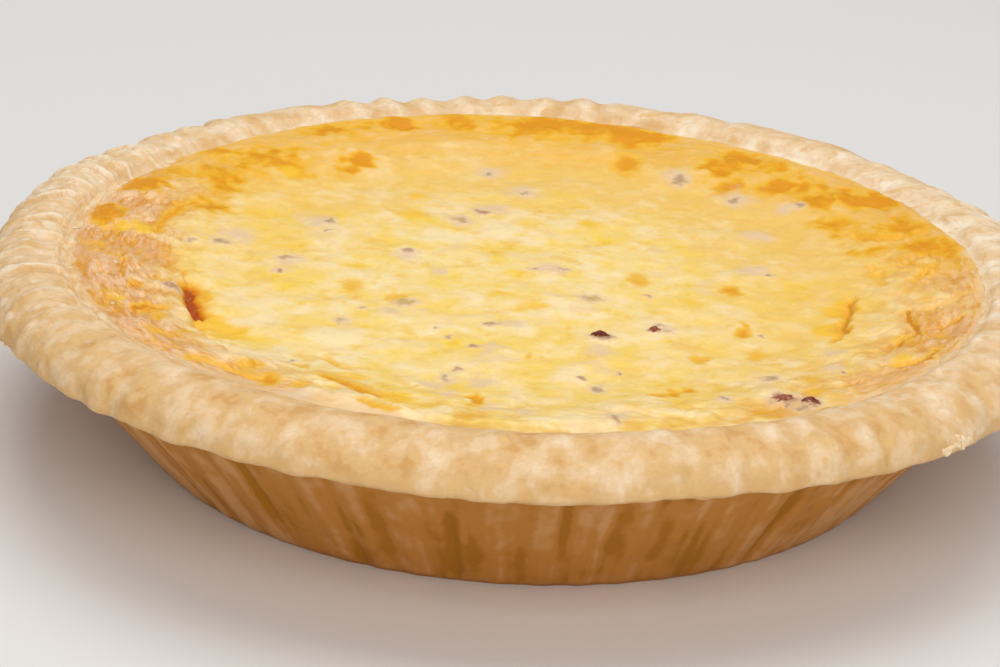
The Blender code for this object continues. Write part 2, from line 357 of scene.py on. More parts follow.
def caseMoved(point, creases):
    radius, height, angle = point.xy.length, point.z, bearing(point)
    (topRadius, topHeight), (lipRadius, lipHeight) = crust["wallTop"], crust["lip"]
    crestRadius, crestHeight = crust["crest"]
    out, up = brimWander(angle)
    wallRadius = crust["footRadius"] + (topRadius - crust["footRadius"]) * height / topHeight
    if height <= topHeight + 1e-5 and radius > wallRadius - 0.001:
        fade = 1 - 0.6 * smoothStep(5 * height / topHeight - 4)
        radius += wallRelief(angle, height, creases) * fade * (0.45 if height < 1e-6 else 1)
    elif radius > brim["radius"] + 0.0008:
        inner = 1 - smoothStep((radius - brim["radius"]) / brim["width"])
        outward = smoothStep((radius - crestRadius) / (lipRadius - crestRadius) + 0.25)
        upper = smoothStep((height - lipHeight) / (crestHeight - lipHeight))
        bump = crust["crimpDepth"] * (crimp(angle) - 0.5)
        radius += outward * (bump + crust["rimWander"] * around(angle, 1.4, 4.0)) + inner * out
        wander = crust["rimWander"] * around(angle, 2.0, 6.0) + 0.6 * upper * bump
        height += (1 - inner) * wander + inner * up
    elif height > brim["height"] - brim["width"]:
        radius += out
        height += up
    return polar(radius, angle, height)


def drop(part, at):  # rises slowly from 0, then falls back at that part of the step
    return part - smoothStep((part - at) / (0.98 - at))


def flaps(angle, across, point):  # dough folded over in scales, with painted light: 1 for a painted highlight on their lips, -1 for painted shade in the folds under them
    step = crimpTurns(angle) + 0.20 * ripple(point, 9 * mm, 30) - 0.0016 * (across - 22) ** 2
    fine = 3 * step + 0.55 * ripple(point, 5 * mm, 31)
    tall, small = step % 1, fine % 1
    lip = hump((tall - 0.85) / 0.07) + 0.5 * hump((small - 0.76) / 0.10)
    foldShade = hump((tall - 0.97) / 0.05) + 0.5 * hump((small - 0.95) / 0.08)
    return drop(tall, 0.87) + 0.32 * drop(small, 0.80), lip - foldShade


def cellEdge(point, size):  # 1 along the borders of little blisters in the dough
    near = noise.voronoi(point / size)[0]
    return hump((near[1] - near[0]) / 0.16)


def dome(point, size):  # low bubbles dotted about
    near, places = noise.voronoi(point / size)
    if noise.noise(places[0] * 9.7) < 0.12:
        return 0.0
    return smoothStep((0.45 - near[0]) / 0.25)


def rimRelief(point, angle, across):
    scaly = flaky(angle)
    relief = 0.30 * ripple(point, 8 * mm, 1) + 0.18 * ripple(point, 3.6 * mm, 2)
    relief += (0.03 + 0.08 * scaly) * ripple(point, 1.5 * mm, 3)
    bend = Vector([ripple(point, 5 * mm, seed) for seed in (11, 13, 17)])
    # edge is 1 along the blisters' borders, where the dough dips; the colour there is painted shade
    # in these creases
    edge = cellEdge(point + bend * 1.2 * mm, 4.2 * mm)
    bubble = dome(point + bend * 0.5 * mm, 4.6 * mm) * (0.35 + 0.65 * scaly)
    # lip: painted highlight on each flap's lip and painted shade in the fold under it
    sheet, lip = flaps(angle, across, point)
    worn = 0.75 + 0.5 * ripple(point, 14 * mm, 33)
    relief += crust["scaleDepth"] * scaly * (sheet * worn - 0.35)
    relief += 0.22 * bubble - (0.06 + 0.12 * scaly) * edge
    return relief * mm, (0.6 + 0.3 * scaly) * edge, lip * scaly * worn, bubble


def crustLine():  # the outline of the dough, from the foot out and round to the inside
    topRadius, topHeight = crust["wallTop"]
    lipRadius, lipHeight = crust["lip"]
    crestRadius, crestHeight = crust["crest"]
    foot = (crust["footRadius"] + crust["footRounding"], crust["footRounding"])
    wall = [(crust["footRadius"], 0), *smoothPath([foot, crust["wallTop"]], crust["wallSpacing"])]
    roll = [crust["wallTop"], (topRadius + 0.0022, topHeight + 0.0009)]
    roll += [(lipRadius - 0.0032, lipHeight - 0.0022), (lipRadius - 0.0008, lipHeight - 0.0012)]
    for degree in (0, 22, 45, 68, 90):
        turn = math.radians(degree)
        reach = crestRadius + (lipRadius - crestRadius) * math.cos(turn)
        roll.append((reach, lipHeight + (crestHeight - lipHeight) * math.sin(turn)))
    roll += [(crestRadius - 0.0040, crestHeight - 0.0007)]
    roll += [(brim["radius"] + 0.0016, brim["height"] + 0.0006)]
    rim = smoothPath(roll, crust["rimSpacing"])[1:]
    skin = [(brim["radius"] - step * mm / 2, brim["height"]) for step in range(len(crust["skin"]))]
    seat = [(brim["radius"] + 0.0004, brim["height"] - crust["thickness"]), *crust["seat"]]
    return wall, rim, skin, seat


def skinReach(angle):  # how far in the pastry's thin edge lies over the custard, in mm
    turn = polar(1, angle)
    ragged = 0.8 * ripple(turn, 0.11, 50) + 0.45 * ripple(turn, 0.035, 51)
    return 1.0 + 0.9 * smoothStep(-turn.x) + ragged + 0.2 * ripple(turn, 0.014, 52)


def dressWall(vert, creases):  # gives the wall its fine streaks, and its painted values
    angle, height = bearing(vert.co), vert.co.z
    along = polar(crust["streakRadius"], angle + wallLean(angle, height), 0.12 * height)
    streak = ripple(along, 2.2 * mm, 5) + 0.5 * ripple(along, 5 * mm, 6)
    # crease grows in the wall's creases and pleat hollows and on its browner stains: the wall's
    # colour darkens with it, painted shade in the hollows and the stains' own brown
    crease = 0.55 * stainAt(angle, height) - wallRelief(angle, height, creases) / mm
    vert.co += vert.normal * (0.10 * streak + 0.12 * ripple(vert.co, 2.6 * mm, 7)) * mm
    vert.co.z = max(vert.co.z, 0)
    return {"streak": streak, "crease": crease}


def dressRim(vert, across, inward):  # across from the wall, inward from the custard, in mm
    angle = bearing(vert.co)
    fade = smoothStep(across / 3.6) * smoothStep(inward / 2.9)
    shift, edge, lip, bubble = rimRelief(vert.co, angle, across)
    vert.co += vert.normal * shift * (0.25 + 0.75 * fade)
    inner = smoothStep(1 - inward / 6.5) * (1 - 0.75 * smoothStep(1.5 * math.sin(angle)))
    inner *= 1 - 0.35 * smoothStep(math.cos(angle))
    values = {"edge": edge, "lip": lip, "dome": bubble, "across": across * mm}
    return values | {"inner": inner, "bump": crimp(angle)}


def makeCrust(material):
    wall, rim, skin, seat = crustLine()
    line = wall + rim + skin + seat
    rimStart, skinStart, seatStart = len(wall), len(wall) + len(rim), len(line) - len(seat)

    shape = bmesh.new()
    order = shape.verts.layers.int.new("order")
    verts = [shape.verts.new((radius, 0, height)) for radius, height in line]
    for number, vert in enumerate(verts):
        vert[order] = number
    edges = [shape.edges.new(pair) for pair in zip(verts, verts[1:])]
    bmesh.ops.spin(
        shape, geom=verts + edges, axis=(0, 0, 1), angle=fullTurn,
        steps=crust["steps"], use_merge=True,
    )
    ends = [edge for edge in shape.edges if edge.is_boundary]
    for height in (0, crust["thickness"]):
        loop = [e for e in ends if abs(e.verts[0].co.z - height) < 1e-6]
        bmesh.ops.contextual_create(shape, geom=loop)

    creases = creaseAngles()
    skinVerts = []
    for vert in shape.verts:
        step = vert[order] - skinStart
        if 0 <= step < len(skin):
            angle, (share, lift) = bearing(vert.co), crust["skin"][step]
            inward = share * max(0.15, skinReach(angle))
            vert.co = polar(brim["radius"] + brimWander(angle)[0] + (1.1 - inward) * mm, angle)
            skinVerts.append((vert, lift * mm))
        else:
            vert.co = caseMoved(vert.co, creases)
    places = 1e3 * np.array([vert.co[:2] for vert, _ in skinVerts])
    for (vert, lift), height in zip(skinVerts, custardSurface(places[:, 0], places[:, 1])[0]):
        vert.co.z = height + lift  # the skin lies on the custard, its edge turned under
    turnOutwards(shape)
    shape.normal_update()

    labels = ("crease", "streak", "edge", "lip", "dome", "across", "inner", "bump")
    painted = {label: [] for label in labels}
    spacing = crust["rimSpacing"] / mm
    for vert in shape.verts:
        number, here = vert[order], {}
        if 0 < number < rimStart:
            here = dressWall(vert, creases)
        elif rimStart <= number < seatStart:
            here = dressRim(vert, (number - rimStart) * spacing, (skinStart - number) * spacing)
        for label in labels:
            painted[label].append(here.get(label, 0.0))
    surface = BVHTree.FromBMesh(shape)
    piece = finishPiece("quiche_crust", shape, material, painted)
    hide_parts("crust")
    return surface


def pastryMaterial():
    look = {
        "white": (0.91, 0.76, 0.56),
        "pale": (0.86, 0.65, 0.42),
        "cream": (0.80, 0.56, 0.315),
        "tan": (0.735, 0.46, 0.20),
        "toast": (0.66, 0.36, 0.12),
        "gold": (0.77, 0.48, 0.19),
        "low": (0.71, 0.425, 0.17),
        "edge": (0.62, 0.37, 0.16),
        "innerTan": (0.73, 0.40, 0.135),
        "innerPale": (0.87, 0.655, 0.39),
        "wallRidge": (0.63, 0.315, 0.110),
        "wall": (0.525, 0.213, 0.034),
        "wallHollow": (0.41, 0.155, 0.006),
    }
    uniform = {"Specular IOR Level": 0.25, "Subsurface Weight": 0.1, "Subsurface Scale": 0.0015}
    uniform["Subsurface Radius"] = (1.0, 0.5, 0.2)
    material, shader, place = startMaterial("baked_pastry", uniform)
    across, lip = place.painted("across"), place.painted("lip")
    edge, bubble = place.painted("edge"), place.painted("dome")
    bent = place.shifted(6 * mm, 4 * mm)
    blotch, patch = bent.noise(9 * mm, 2), bent.noise(4 * mm, 2)
    spots = bent.noise(3.4 * mm, 1, 0.4)
    grain = place.noise(0.9 * mm, 3, 0.6)
    ribs = place.ringed(4.5 * mm, 9 * mm, across).noise(1, 2)
    rings = place.ringed(5 * mm, 0.9 * mm, across).noise(1, 3, 0.6)
    forward, right = place.towards((0, -1, 0)), place.towards((1, 0, 0))

    tone = 0.50 * ribs + 0.45 * blotch + 0.38 * patch + 0.10 * grain
    # paler on the crimps' bumps and darker between them: painted light and shade. The rim is also
    # darker towards the front and the back, and paler at the right
    tone = tone - 0.12 * (place.painted("bump") - 0.5) + 0.14 * forward.band(-0.05, 0.10) - 0.135
    tone = tone + 0.055 * (-1 * forward).band(0.04, 0.09) - 0.045 * right.band(0.03, 0.10)
    rim = tone.ramp(look["white"], [
        (0.44, 0.52, look["pale"]),
        (0.53, 0.63, look["cream"]),
        (0.64, 0.75, look["tan"]),
        (0.76, 0.86, look["toast"]),
    ])
    lower = 1 - across.band(9 * mm, 15 * mm) + 1.4 * (ribs - 0.5) + 0.8 * (patch - 0.5)
    rim = coated(rim, look, [
        ("gold", (spots + 0.3 * (ribs - 0.5)).band(0.60, 0.72) * 0.75),
        ("low", lower.band(0.45, 1.05) * 0.6),
        # painted shade along the blisters' borders
        ("edge", (edge + 0.4 * (grain - 0.5)).band(0.25, 0.75) * 0.30),
        ("white", (bubble + 0.5 * (grain - 0.5)).band(0.2, 0.8) * 0.6),
        # painted shade under the flaps' lips, then a painted highlight on the lips
        ("edge", (-1 * lip).band(0.15, 0.85) * 0.6),
        ("white", lip.band(0.15, 0.90) * 0.75),
    ])
    inside = (rings + 0.3 * (patch - 0.5)).band(0.34, 0.66).mix(look["innerTan"], look["innerPale"])
    inner = place.painted("inner") + 0.4 * (patch - 0.5) + 0.9 * (rings - 0.5)
    rim = (inner.band(0.25, 1.0) * 0.8).mix(rim, inside)

    # the wall is darker in its creases and paler on its ridges, painted shade and light, and
    # browner on its stains
    fluted = 0.5 * place.painted("streak") + 1.3 * place.painted("crease")
    upright = place.vector("MULTIPLY", {0: place, 1: (1, 1, 0.35)})
    fluted = fluted + 1.6 * (upright.noise(5 * mm, 2) - 0.5) + 1.6 * (blotch - 0.5)
    fluted = fluted - 0.6 * (1 - forward.band(0.065, 0.088))  # paler towards both ends: painted light on the wall's sides
    side = fluted.ramp(look["wallRidge"], [
        (-0.9, -0.05, look["wall"]),
        (0.15, 0.9, look["wallHollow"]),
    ])
    wall = 1 - across.band(1.4 * mm, 5.7 * mm)
    feed(shader, {
        "Base Color": (wall + 0.3 * (patch - 0.5)).band(0.25, 0.75).mix(rim, side),
        "Roughness": 0.60 + 0.25 * grain,
        "Normal": place.bump(0.25 * grain + 0.45 * patch + 0.35 * rings, 0.45),
    })
    return material


# custard

custard = {
    "rings": 178,
    "plateauRadius": 0.0690,
    "plateauHeight": 0.0366,
    "blendWidth": 0.012,  # of the top's outer band, which follows the brim in and out
    "seatGap": 0.0004,
    "plateSize": 0.013,
    "plateDepth": 0.00035,
    "footWander": 3.5,  # mm, of the margin's start in and out
    # degrees round the pie and how much further out the margin starts there, in mm
    "foot": [(-165, 0), (-152, 3), (-143, 8), (-134, 8), (-118, 0)],
    # degrees round the pie, then how golden and how pinkish brown the margin is there
    "margin": [
        (-180, 0.45, 1.2), (-150, 0.35, 1.2), (-125, 0.4, 0.75), (-105, 0.3, 0.35), (-70, 0.3, 0.3),
        (-45, 0.5, 0.6), (-20, 0.7, 0.72), (0, 0.8, 0.62), (20, 0.95, 0.5), (45, 1.1, 0.35),
        (90, 1.15, 0.25), (125, 1.15, 0.3), (150, 1, 0.5), (165, 0.6, 0.9), (180, 0.45, 1.2),
    ],
    # degrees round the pie and how much wider the pale skin beside the rim is there, in mm
    "skin": [(-135, 0), (-122, 5), (-108, 6), (-97, 0)],
    # ways in mm, then depth and half width in mm, then how orange and how burnt
    "cracks": [
        ([(-81, -8), (-79, -8), (-77.5, -12), (-75.6, -16), (-74, -19.5)], 1, 0.7, 0.6, 0.1),
        ([(-73.4, -23), (-72.6, -27.5), (-71.6, -32), (-70.2, -37.5)], 2.5, 2.3, 1, 1.15),
        ([(-70.2, -37), (-69.4, -42), (-68.3, -48)], 1.6, 1.2, 0.7, 0.1),
        ([(-68.5, -47), (-65, -53.5), (-61, -59.5), (-58, -66)], 1, 0.8, 0.35, 0),
        ([(-91, -4), (-89, -12), (-88, -22), (-87, -28), (-84, -30)], 0.9, 0.5, 0.75, 0.1),
        ([(-77.5, 30), (-81, 25), (-83, 19), (-83.8, 13), (-84.3, 6)], 0.9, 1.3, 1, 0),
        ([(-84.3, 5), (-88, 2), (-91, -4)], 0.4, 0.5, 0.35, 0),
        ([(-85, -12), (-82, -7), (-78, -3), (-74, -7), (-72, -14)], 0.5, 0.7, 0.35, 0),
        ([(73, -10), (72, -17), (70, -25), (70, -30), (67, -36)], 1.4, 0.9, 1.15, 0.1),
        ([(84, -20), (84, -25), (85, -31), (84, -35), (81, -39), (78, -45)], 1.5, 0.7, 1.15, 0.2),
        ([(87, -46), (84.5, -52), (81, -55), (75.5, -56)], 1.5, 0.9, 1.1, 0.1),
        ([(95, -26), (92, -30), (87, -32)], 1, 0.7, 0.9, 0),
        ([(91, -44), (93.6, -38.6)], 0.5, 0.6, 0.6, 0),
        ([(94, 9), (90.5, 4), (87.5, -1.5)], 1.3, 1, 0.8, 0),
        ([(77, 30), (82, 25.6), (87, 27)], 1.2, 1.1, 0.95, 0.1),
        ([(78.7, 11), (80, 4), (80.7, -3.3)], 0.7, 1.2, 0.35, 0),
        ([(98, -12), (92, -18), (88, -20)], 0.6, 0.9, 0.5, 0),
        ([(92, 16), (86, 10), (79, 9)], 0.8, 1.1, 0.45, 0),
        ([(-67, -72.5), (-61, -74.5), (-57, -76.5), (-52, -78.5)], 0.6, 1.6, 0.75, 0),
        ([(-81, -55), (-73, -63), (-65, -73), (-57, -77)], 0.7, 0.9, 0.12, 0),
        ([(-40, -59), (-36, -66)], 0.5, 1.2, 0.6, 0),
        ([(-38.5, -74.5), (-33.5, -79), (-28, -85.5)], 0.6, 2, 1.05, 0),
        ([(-31, -91), (-28, -92.8), (-24.5, -94.4)], 0.4, 1.3, 0.75, 0),
        ([(-93, -20), (-90, -33), (-84, -46)], 0.5, 0.8, 0.4, 0),
        ([(-81.6, -46.4), (-81.6, -43), (-79.8, -40.6), (-77.2, -40.8)], 0.7, 1, 1.4, 0.5),
    ],
    # place, radius and depth in mm, then how orange and how burnt
    "blisters": [
        ((-78.8, -43.6), 2.4, 1, 0.85, 0), ((-76.4, -48), 1.6, 0.5, 0.8, 0),
        ((-64.5, -43.5), 6, 1, 0.1, 0), ((-70.4, -26.5), 2.8, 0.2, 0.8, 0),
        ((-54.3, -72), 2.4, 0.4, 0.65, 0), ((-49.5, -79.6), 2.2, 0.5, 1.1, 0.1),
        ((-43.4, -82.4), 2.2, 0.3, 0.6, 0), ((80.4, 0), 1.3, 0.4, 0.6, 0),
        ((-84, -30), 1.6, 0.5, 0.8, 0.5), ((-75.5, -57.5), 2.4, 0.4, 0.5, 0.25),
        ((46.4, -6.2), 2.2, 0.25, 1, 0.15), ((47.9, -27), 1, 0.3, 0.9, 0.1),
        ((47.5, -31), 1.7, 0.4, 1, 0.1), ((-8, -79), 1.3, 0.7, 1.3, 0.15),
        ((-9.4, -77.2), 1, 0.4, 1.2, 0.25), ((28.4, -72.4), 1.4, 0.5, 1.05, 0),
        ((31, -70), 1.7, 0.5, 1.1, 0), ((34, -67.6), 1.5, 0.4, 1.1, 0.1),
        ((25.4, -3), 2.8, 0.2, 0.7, 0), ((37.5, -48.5), 1.9, 0.3, 0.7, 0),
        ((49.5, -44.6), 2.4, 0.3, 0.55, 0), ((59.5, -63), 2.6, 0.3, 0.45, 0),
        ((63, -75), 3, 0.4, 0.35, 0), ((24, 76), 4, 0.7, 1, 0.2), ((-54, -71), 2.2, 0.4, 0.8, 0),
        ((70.4, -16.5), 2.7, 0.5, 0.7, 0), ((68.4, -28.5), 2.7, 0.5, 0.75, 0),
        ((1.8, -51), 1.2, 0.2, 0.6, 0), ((-38, -15), 2.6, 0.2, 0.5, 0),
        ((-27.7, -22), 2.4, 0.2, 0.6, 0),
    ],
    "blisterStretch": 1.6,  # longer from front to back
    # place and radius in mm, and strength: pools as yellow as yolk
    "yolks": [
        ((-66.5, -38.5), 3.4, 1), ((-64.8, -43.5), 4.6, 1.1), ((-61, -46), 4.2, 1),
        ((-63, -49.5), 3.6, 0.9), ((-70, -26), 3.4, 0.9), ((-25, -84), 6, 0.8),
        ((-20, -89), 5, 0.6), ((-86, -40), 2.6, 0.7), ((-87, 5.5), 3.6, 0.9), ((-92, 5), 3.6, 0.8),
        ((-58.5, 55), 3.4, 0.7), ((-79, -22), 2, 0.4), ((69.4, -17), 3.8, 1.35),
        ((71, -12), 2.4, 0.9), ((66.6, -29), 4, 1.35), ((81, -38), 3, 0.6), ((79, -52), 3.2, 0.7),
        ((90, 2), 3.4, 0.5), ((80, 6), 3.6, 0.4), ((60, -71), 3.4, 0.6), ((-37.6, -2.2), 2.8, 0.6),
        ((-6.2, -15.7), 3.4, 0.6), ((-26.7, 47), 3.6, 0.6), ((-27.4, 34.5), 3.6, 0.6),
        ((14.7, 33.5), 3.4, 0.6), ((-46.8, -44.1), 3.2, 0.5), ((2, -22), 4.4, 0.7),
        ((37, -15), 3, 0.5), ((-33, -70), 3.4, 0.6), ((22, -82), 3.4, 0.5),
    ],
    # place and radius in mm, and strength: browned patches of the margin
    "patches": [
        ((-5, 95), 6, 1), ((4, 96), 7, 1.2), ((13, 96), 6.5, 1.2), ((22, 95), 6.5, 1.3),
        ((30, 93), 4, 1), ((47, 73), 5.5, 1), ((53, 78), 4.5, 1.2), ((49, 61), 4.5, 0.9),
        ((62, 72), 5, 1), ((60, 61), 4.5, 1.1), ((67, 60), 4, 1), ((71, 51), 4.5, 1.2),
        ((78, 51), 5, 1.2), ((84, 51), 4.5, 1.2), ((72, 37), 4.5, 0.8), ((82, 29), 4, 0.8),
        ((89, 33), 5, 0.9), ((92, 21), 5, 0.8), ((79, 20), 3.5, 0.6), ((98, 15), 4, 0.7),
        ((94, 7), 4, 0.5), ((98, 19), 3, 1), ((-91, 34), 4.5, 1.6), ((-78, 61), 4, 1),
        ((-75, 46), 5, 0.9), ((-99, 14), 4, 1.9), ((-95.5, 9.5), 3.6, 1.35), ((-91.5, 9), 3, 0.5),
        ((-77, 30), 2, 1.1), ((-74, 27), 4, 0.9), ((-62, 61), 5.5, 1.1), ((-50, 82), 5, 1.1),
        ((-43, 67), 4, 1.1), ((-34, 92), 4.5, 1.2), ((-67, 57), 4, 0.8), ((-56, 56), 3.5, 0.7),
        ((-84, 44), 4, 0.7), ((-56, 79), 4, 0.5), ((-20, 96), 5, 0.7), ((-42, 88), 4, 0.7),
        ((-95, -14), 6, 0.4), ((-88, -38), 6, 0.35), ((-72, -60), 7, 0.4),
    ],
    # place and radius in mm: bacon just under the skin
    "veils": [
        ((31, -32), 2.2), ((-29, -30), 3.2), ((-6.5, -48), 3.6), ((-1.5, -33.5), 3.4),
        ((5, 1.5), 4.6), ((-27, 6.5), 4.2), ((-19, -4), 2.6), ((-53, -2), 4.6), ((-49, 25.5), 5.2),
        ((-66, 12), 5.4), ((-10, 67), 4.6), ((-8.5, 41), 5), ((-1.5, 54), 5.6), ((35, 68), 4.6),
        ((50, 55), 6.2), ((62, 48), 4), ((19.6, -90), 3.6), ((-5, -85.5), 3.2), ((2, -88), 2.8),
        ((65, -57), 3.4), ((66, -46), 2.6), ((77, -51.5), 3), ((41.5, -77), 3), ((-18, -71), 3.4),
        ((-15, -66), 3), ((-14.5, -76), 3.4), ((-8, -68), 4), ((17, -47), 3.6), ((51, 7), 4.6),
        ((16, -68), 3.2), ((-43, -88), 3.4), ((54, 31), 5), ((-38, -36.5), 3), ((-16, 31), 4.2),
    ],
}


def wayDistance(x, y, way):  # distance in mm to a line of points, and whether further out than it
    nearest, beyond = np.full(x.shape, 1e3), np.zeros(x.shape, dtype=bool)
    radius = np.hypot(x, y)
    for (ax, ay), (bx, by) in zip(way, way[1:]):
        dx, dy = bx - ax, by - ay
        share = np.clip(((x - ax) * dx + (y - ay) * dy) / (dx * dx + dy * dy), 0, 1)
        spotX, spotY = ax + share * dx, ay + share * dy
        away = np.hypot(x - spotX, y - spotY)
        beyond = np.where(away < nearest, radius > np.hypot(spotX, spotY), beyond)
        nearest = np.minimum(nearest, away)
    return nearest, beyond


def field(points, size, seed):  # noise over the custard, bumps of that size in mm
    return np.array([bumps(x / size, y / size, seed) for x, y in points])


def push(points, size, amount, seeds):  # how far places are pushed about, in mm
    return amount * np.array([field(points, size, seed) for seed in seeds])


def folds(points, along, across, seed):  # noise drawn out along the brim, sizes in mm
    values = []
    for x, y in points:
        radius = math.hypot(x, y) + 1e-6
        turn = drawnRadius / mm / along / radius
        values.append(bumps(x * turn, y * turn, radius / across + seed))
    return np.array(values)


def plates(points, size):  # 0 at the middles of skin plates, 1 along their edges
    edges = []
    for x, y in points:
        near = noise.voronoi(Vector((x / size, y / size, 4.0)))[0]
        edges.append(near[1] - near[0])
    return humps(np.array(edges) / 0.085)


def dabs(place, table, power, spread=1.0):  # painted spots that fade outwards
    value = np.zeros(place.shape[1])
    for (x, y), size, strength in table:
        away = np.hypot(place[0] - x, place[1] - y) / (spread * size)
        value = np.maximum(value, strength * humps(away, power))
    return value


def openings(place, shake, jitter):  # depths in mm of cracks and blisters, and their colours
    depths, orange, slitShade, burnt = np.zeros((4, place.shape[1]))
    x, y = place + 0.8 * shake + jitter
    for way, depth, halfWidth, tint, scorch in custard["cracks"]:
        away, beyond = wayDistance(x, y, way)
        away /= halfWidth * np.where(beyond, 0.6, 1.15)  # steep on the outer side
        core, narrow = humps(away, 1.6), min(1.0, 0.7 / halfWidth) ** 2
        depths += depth * (core - 0.25 * beyond * humps(away - 2.4))
        halo = 0.35 * humps(away / 2.0)
        orange = np.maximum(orange, tint * (halo + (0.75 - 0.6 * narrow) * core))
        # a dark line down narrow cracks: painted shade in the crack
        slitShade = np.maximum(slitShade, narrow * tint * humps(away / 0.9))
        burnt = np.maximum(burnt, scorch * humps(away / 0.8))
    x, y = place + 1.4 * (shake + jitter)
    for (cx, cy), size, depth, tint, scorch in custard["blisters"]:
        away = np.hypot(x - cx, (y - cy) / custard["blisterStretch"]) / (0.9 * size)
        core = humps(away, 2.4)
        depths += depth * core
        orange = np.maximum(orange, tint * humps(away / 1.15, 2.4))
        burnt = np.maximum(burnt, scorch * core)
    return depths, orange, slitShade, burnt


def mounds(place, shake, jitter):  # heights in mm over the bacon, its stain and its tone
    heights, bit = np.zeros((2, place.shape[1]))
    tones = np.full(bit.shape, 0.5)
    x, y = place + shake + 2.2 * jitter
    for (cx, cy), length, width, tall, turn, tone in bacon["pieces"]:
        cosine, sine = polar(1, math.radians(turn)).xy
        along = ((x - cx) * cosine + (y - cy) * sine) / (1.05 * length)
        across = ((y - cy) * cosine - (x - cx) * sine) / (1.4 * width)
        core = np.exp(-2.6 * (along**2 + across**2))
        heights += 0.28 * tall * core
        tones = np.where(core > bit, tone, tones)
        bit = np.maximum(bit, core)
    return heights, bit, tones


def custardSurface(x, y):  # heights in m and painted values at places in mm
    points, place = list(zip(x, y)), np.array([x, y])
    radius, angle = np.hypot(x, y), np.arctan2(y, x)
    brimUp = np.array([brimWander(a)[1] for a in angle])
    wander = np.array([around(a, 1.7, 12.0) for a in angle])
    here = np.degrees(angle)
    foot = custard["plateauRadius"] / mm + custard["footWander"] * wander
    foot += np.interp(here, *np.array(custard["foot"]).T)
    edge = brim["radius"] / mm
    rise = smoothSteps(((radius - foot) / (edge - foot) + 0.12) / 1.12) ** 0.8
    inside = 1 - smoothSteps((radius - edge + 6) / 5.5)
    base = custard["plateauHeight"]
    height = base + (brim["height"] - base) * rise + (1 - inside) * brimUp

    shake = push(points, 3.5, 0.6, (71, 77))
    jitter = push(points, 1.7, 0.35, (101, 107))
    shaken = list(zip(*(place + 2.4 * shake)))
    lace = 1 - np.abs(field(shaken, 4.2, 81)) / 0.5  # wrinkles in the skin, sharp on top
    wrinkle = 1 - np.abs(folds(shaken, 11, 2.6, 85)) / 0.5
    crepe = 1 - np.abs(folds(shaken, 6, 1.5, 97)) / 0.5
    soft = 0.30 * field(points, 13, 3) + 0.20 * field(points, 6, 8) + 0.08 * field(points, 3, 14)
    pillows = 0.75 * field(points, 16, 21) + 0.55 * folds(shaken, 24, 6.5, 91)
    soft += rise * (pillows + 0.30 * field(points, 7, 33))
    seams = plates(list(zip(*(place + push(points, 9, 4, (51, 57))))), custard["plateSize"] / mm)
    seams *= smoothSteps(1.6 * rise) * smoothSteps(0.9 + 0.9 * field(points, 11, 61))
    seams *= 1 - 0.8 * smoothSteps(1.4 * np.sin(angle))

    degrees, gold, peach = np.array(custard["margin"]).T
    gold, peach = np.interp(here, degrees, gold), np.interp(here, degrees, peach)
    relief = soft + 0.05 * lace * (1 - rise)
    relief += rise * ((0.08 + 0.24 * peach) * wrinkle + 0.34 * peach * crepe)
    # hollow is high in the skin's hollows and low on its ridges; the custard's colours follow it as
    # painted shade and highlight
    hollow = -soft - 0.15 * lace * (1 - rise) - rise * (0.25 * wrinkle + 0.2 * peach * crepe)
    veil = dabs(place + 2 * shake, [(*spot, 1) for spot in custard["veils"]], 2)
    depths, orange, slitShade, burnt = openings(place, shake, jitter)
    heights, bit, meat = mounds(place, shake, jitter)
    relief += heights + 0.15 * veil - depths - custard["plateDepth"] / mm * seams
    height += inside * relief * mm

    back = np.clip(0.55 + 0.45 * np.sin(angle) + 0.25 * np.cos(angle), 0, 1)
    reach = 1.2 + 1.6 * peach + 1.4 * field(points, 5, 95)
    reach = np.maximum(reach + np.interp(here, *np.array(custard["skin"]).T), 0.2)
    return height, {
        "hollow": hollow,
        "wrinkle": wrinkle * rise,
        "gold": rise * gold,
        "peach": rise * peach,
        "warm": smoothSteps((radius - 22) / 55) * back,
        "skin": smoothSteps((radius - edge + reach) / 3.2),
        "orange": np.maximum(orange, 0.06 * seams),
        "slitShade": slitShade,
        "burnt": burnt,
        "patch": dabs(place + 4 * shake, custard["patches"], 2.2, 1.3),
        "yolk": dabs(place + 1.5 * shake, custard["yolks"], 2.2),
        "veil": veil,
        "bit": bit,
        "meat": meat,
    }


def discPlace(point):  # a hexagon's point goes to the same ring of a disc
    sector = math.radians(60)
    half = sector / 2
    angle = bearing(point)
    middle = (math.floor((angle - half) / sector) + 0.5) * sector + half
    apart = angleBetween(angle, middle)
    ring = point.xy.length * math.cos(apart) / math.cos(half)
    return ring, middle + math.tan(apart) / math.tan(half) * half


